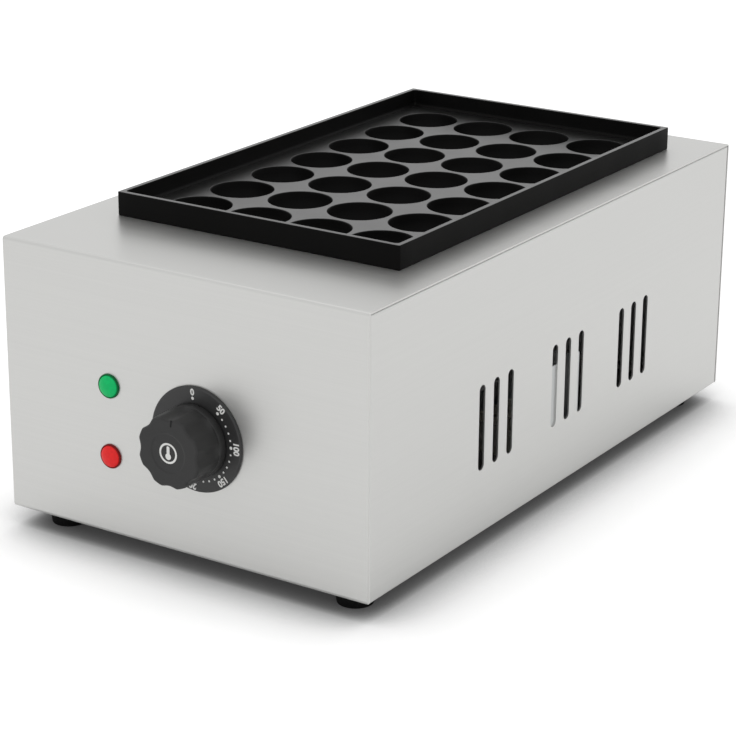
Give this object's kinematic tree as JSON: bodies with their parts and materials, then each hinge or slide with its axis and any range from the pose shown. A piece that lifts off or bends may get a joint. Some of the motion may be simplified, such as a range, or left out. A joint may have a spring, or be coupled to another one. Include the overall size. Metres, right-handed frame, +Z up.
{
  "type": "takoyaki maker",
  "caption": "Electric takoyaki maker: a steel housing on rubber feet carries a black cast plate of round pits in a raised rim, with a thermostat knob and two lamps in front.",
  "frame": {"origin": "on the floor, at the middle of the overall width and the overall depth", "axes": "+X to the right seen from the front, +Y from the front to the back, +Z up"},
  "size_m": [0.25, 0.476, 0.1924],
  "materials": {
    "base_steel": "plain galvanised",
    "black_plastic": "matt",
    "blanket": "felted fibre",
    "brass": "bright",
    "ceramic": "unglazed",
    "copper": "bright drawn",
    "dial": "satin black with white scale",
    "element": "heat-dulled",
    "green_lens": "clear tinted",
    "housing_steel": "fine brushed",
    "knob": "fine grained dark grey",
    "phenolic": "moulded",
    "plate": "matt black cast",
    "red_lens": "clear tinted",
    "rubber": "matt",
    "zinc": "bright zinc"
  },
  "bodies": {
    "housing": {"baking_plate": "plate", "base_plate": "base_steel", "capillary_tube": "copper", "cord_gland": "black_plastic", "dial_bezel": "dial", "fibre_blanket": "blanket", "green_lamp_body": "black_plastic", "green_lamp_lens": "green_lens", "heat_partition": "base_steel", "heater_beads": "ceramic", "heater_straps": "zinc", "heater_terminals": "zinc", "heating_element": "element", "lamp_clips": "zinc", "left_side_panel": "housing_steel", "red_lamp_body": "black_plastic", "red_lamp_lens": "red_lens", "reflector_tray": "base_steel", "right_side_panel": "housing_steel", "rubber_feet": "rubber", "sensor_bulb": "copper", "side_bracket": "base_steel", "terminal_block": "ceramic", "thermostat_body": "phenolic", "thermostat_tabs": "brass", "wrap_panel": "housing_steel"},
    "control_knob": {"knob": "knob", "thermostat_spindle": "zinc"}
  },
  "joints": [
    {"name": "knob_turn", "type": "hinge", "parent": "housing", "child": "control_knob", "pos_m": [0.012, -0.211, 0.084], "axis": [0, 1, 0], "range_deg": [0, 290]}
  ]
}
